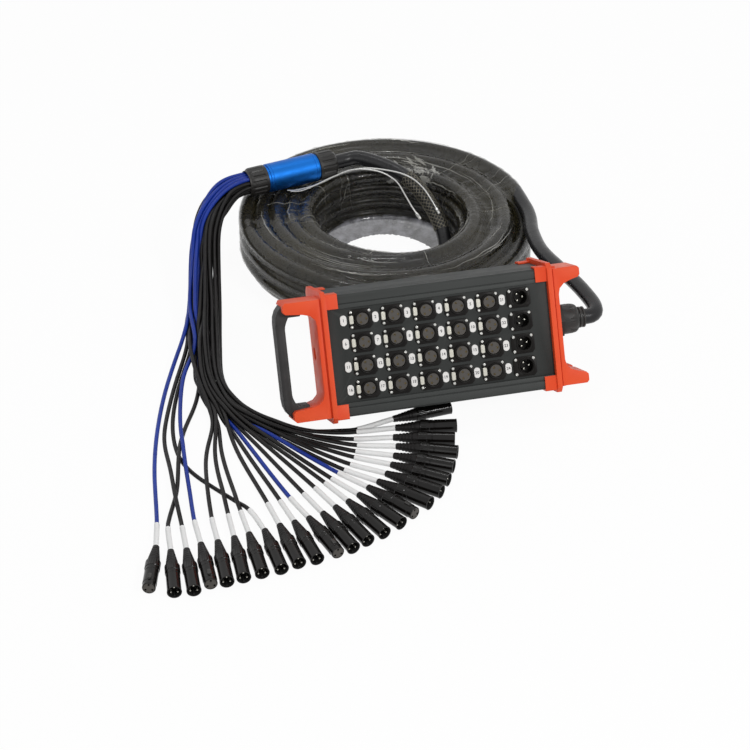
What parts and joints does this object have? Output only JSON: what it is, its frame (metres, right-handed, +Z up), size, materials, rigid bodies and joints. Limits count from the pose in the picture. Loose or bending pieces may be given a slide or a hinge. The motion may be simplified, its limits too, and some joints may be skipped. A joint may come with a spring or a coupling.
{
  "type": "audio stage box snake",
  "caption": "Audio stage box with a grid of panel sockets, a coiled trunk cable, a splitter and a fan of tails with cable connectors.",
  "frame": {"origin": "on the floor under the middle of the leaning stage box", "axes": "+X along the box, towards the cable gland; -Y is the side that the sockets face; +Z up"},
  "size_m": [0.6787, 0.9001, 0.1914],
  "materials": {
    "anodised_grey": "satin anodised",
    "orange_bumper": "matt moulded",
    "panel_black": "satin",
    "handle_plastic": "matt moulded",
    "black_plastic": "satin moulded",
    "nickel": "satin plated",
    "blue_metal": "polished blue",
    "trunk_rubber": "satin",
    "tail_rubber": "satin",
    "connector_metal": "satin"
  },
  "bodies": {
    "snake": {"case_extrusion": "anodised_grey", "front_panel": "panel_black", "left_end_cap": "orange_bumper", "right_end_cap": "orange_bumper", "carry_handle": "handle_plastic", "cable_gland": "black_plastic", "trunk_lead_in": "trunk_rubber", "trunk_coil": "trunk_rubber", "splitter_sleeve": "blue_metal", "splitter_trunk_nut": "black_plastic", "splitter_tail_nut": "black_plastic", "tail_bundle": "tail_rubber", "connector_01": "connector_metal", "connector_02": "connector_metal", "connector_03": "connector_metal", "connector_04": "connector_metal", "connector_05": "connector_metal", "connector_06": "connector_metal", "connector_07": "connector_metal", "connector_08": "connector_metal", "connector_09": "connector_metal", "connector_10": "connector_metal", "connector_11": "connector_metal", "connector_12": "connector_metal", "connector_13": "connector_metal", "connector_14": "connector_metal", "connector_15": "connector_metal", "connector_16": "connector_metal", "connector_17": "connector_metal", "connector_18": "connector_metal", "connector_19": "connector_metal", "connector_20": "connector_metal", "connector_21": "connector_metal", "connector_22": "connector_metal", "connector_23": "connector_metal", "connector_24": "connector_metal"},
    "latch_tab_01": {"latch_tab_01": "nickel"},
    "latch_tab_02": {"latch_tab_02": "nickel"},
    "latch_tab_03": {"latch_tab_03": "nickel"},
    "latch_tab_04": {"latch_tab_04": "nickel"},
    "latch_tab_05": {"latch_tab_05": "nickel"},
    "latch_tab_06": {"latch_tab_06": "nickel"},
    "latch_tab_07": {"latch_tab_07": "nickel"},
    "latch_tab_08": {"latch_tab_08": "nickel"},
    "latch_tab_09": {"latch_tab_09": "nickel"},
    "latch_tab_10": {"latch_tab_10": "nickel"},
    "latch_tab_11": {"latch_tab_11": "nickel"},
    "latch_tab_12": {"latch_tab_12": "nickel"},
    "latch_tab_13": {"latch_tab_13": "nickel"},
    "latch_tab_14": {"latch_tab_14": "nickel"},
    "latch_tab_15": {"latch_tab_15": "nickel"},
    "latch_tab_16": {"latch_tab_16": "nickel"},
    "latch_tab_17": {"latch_tab_17": "nickel"},
    "latch_tab_18": {"latch_tab_18": "nickel"},
    "latch_tab_19": {"latch_tab_19": "nickel"},
    "latch_tab_20": {"latch_tab_20": "nickel"},
    "latch_button_01": {"latch_button_01": "black_plastic"},
    "latch_button_04": {"latch_button_04": "black_plastic"},
    "latch_button_11": {"latch_button_11": "black_plastic"},
    "latch_button_16": {"latch_button_16": "black_plastic"}
  },
  "joints": [
    {"name": "latch_tab_01_press", "type": "slide", "parent": "snake", "child": "latch_tab_01", "axis": [0, 0.8988, -0.4384], "range_m": [0, 0.0012], "stiffness_N_per_m": 600, "springref_m": -0.001},
    {"name": "latch_tab_02_press", "type": "slide", "parent": "snake", "child": "latch_tab_02", "axis": [0, 0.8988, -0.4384], "range_m": [0, 0.0012], "stiffness_N_per_m": 600, "springref_m": -0.001},
    {"name": "latch_tab_03_press", "type": "slide", "parent": "snake", "child": "latch_tab_03", "axis": [0, 0.8988, -0.4384], "range_m": [0, 0.0012], "stiffness_N_per_m": 600, "springref_m": -0.001},
    {"name": "latch_tab_04_press", "type": "slide", "parent": "snake", "child": "latch_tab_04", "axis": [0, 0.8988, -0.4384], "range_m": [0, 0.0012], "stiffness_N_per_m": 600, "springref_m": -0.001},
    {"name": "latch_tab_05_press", "type": "slide", "parent": "snake", "child": "latch_tab_05", "axis": [0, 0.8988, -0.4384], "range_m": [0, 0.0012], "stiffness_N_per_m": 600, "springref_m": -0.001},
    {"name": "latch_tab_06_press", "type": "slide", "parent": "snake", "child": "latch_tab_06", "axis": [0, 0.8988, -0.4384], "range_m": [0, 0.0012], "stiffness_N_per_m": 600, "springref_m": -0.001},
    {"name": "latch_tab_07_press", "type": "slide", "parent": "snake", "child": "latch_tab_07", "axis": [0, 0.8988, -0.4384], "range_m": [0, 0.0012], "stiffness_N_per_m": 600, "springref_m": -0.001},
    {"name": "latch_tab_08_press", "type": "slide", "parent": "snake", "child": "latch_tab_08", "axis": [0, 0.8988, -0.4384], "range_m": [0, 0.0012], "stiffness_N_per_m": 600, "springref_m": -0.001},
    {"name": "latch_tab_09_press", "type": "slide", "parent": "snake", "child": "latch_tab_09", "axis": [0, 0.8988, -0.4384], "range_m": [0, 0.0012], "stiffness_N_per_m": 600, "springref_m": -0.001},
    {"name": "latch_tab_10_press", "type": "slide", "parent": "snake", "child": "latch_tab_10", "axis": [0, 0.8988, -0.4384], "range_m": [0, 0.0012], "stiffness_N_per_m": 600, "springref_m": -0.001},
    {"name": "latch_tab_11_press", "type": "slide", "parent": "snake", "child": "latch_tab_11", "axis": [0, 0.8988, -0.4384], "range_m": [0, 0.0012], "stiffness_N_per_m": 600, "springref_m": -0.001},
    {"name": "latch_tab_12_press", "type": "slide", "parent": "snake", "child": "latch_tab_12", "axis": [0, 0.8988, -0.4384], "range_m": [0, 0.0012], "stiffness_N_per_m": 600, "springref_m": -0.001},
    {"name": "latch_tab_13_press", "type": "slide", "parent": "snake", "child": "latch_tab_13", "axis": [0, 0.8988, -0.4384], "range_m": [0, 0.0012], "stiffness_N_per_m": 600, "springref_m": -0.001},
    {"name": "latch_tab_14_press", "type": "slide", "parent": "snake", "child": "latch_tab_14", "axis": [0, 0.8988, -0.4384], "range_m": [0, 0.0012], "stiffness_N_per_m": 600, "springref_m": -0.001},
    {"name": "latch_tab_15_press", "type": "slide", "parent": "snake", "child": "latch_tab_15", "axis": [0, 0.8988, -0.4384], "range_m": [0, 0.0012], "stiffness_N_per_m": 600, "springref_m": -0.001},
    {"name": "latch_tab_16_press", "type": "slide", "parent": "snake", "child": "latch_tab_16", "axis": [0, 0.8988, -0.4384], "range_m": [0, 0.0012], "stiffness_N_per_m": 600, "springref_m": -0.001},
    {"name": "latch_tab_17_press", "type": "slide", "parent": "snake", "child": "latch_tab_17", "axis": [0, 0.8988, -0.4384], "range_m": [0, 0.0012], "stiffness_N_per_m": 600, "springref_m": -0.001},
    {"name": "latch_tab_18_press", "type": "slide", "parent": "snake", "child": "latch_tab_18", "axis": [0, 0.8988, -0.4384], "range_m": [0, 0.0012], "stiffness_N_per_m": 600, "springref_m": -0.001},
    {"name": "latch_tab_19_press", "type": "slide", "parent": "snake", "child": "latch_tab_19", "axis": [0, 0.8988, -0.4384], "range_m": [0, 0.0012], "stiffness_N_per_m": 600, "springref_m": -0.001},
    {"name": "latch_tab_20_press", "type": "slide", "parent": "snake", "child": "latch_tab_20", "axis": [0, 0.8988, -0.4384], "range_m": [0, 0.0012], "stiffness_N_per_m": 600, "springref_m": -0.001},
    {"name": "latch_button_01_press", "type": "slide", "parent": "snake", "child": "latch_button_01", "axis": [0, 0, -1], "range_m": [0, 0.0012], "stiffness_N_per_m": 400, "springref_m": -0.001},
    {"name": "latch_button_04_press", "type": "slide", "parent": "snake", "child": "latch_button_04", "axis": [0, 0, -1], "range_m": [0, 0.0012], "stiffness_N_per_m": 400, "springref_m": -0.001},
    {"name": "latch_button_11_press", "type": "slide", "parent": "snake", "child": "latch_button_11", "axis": [0, 0, -1], "range_m": [0, 0.0012], "stiffness_N_per_m": 400, "springref_m": -0.001},
    {"name": "latch_button_16_press", "type": "slide", "parent": "snake", "child": "latch_button_16", "axis": [0, 0, -1], "range_m": [0, 0.0012], "stiffness_N_per_m": 400, "springref_m": -0.001}
  ]
}
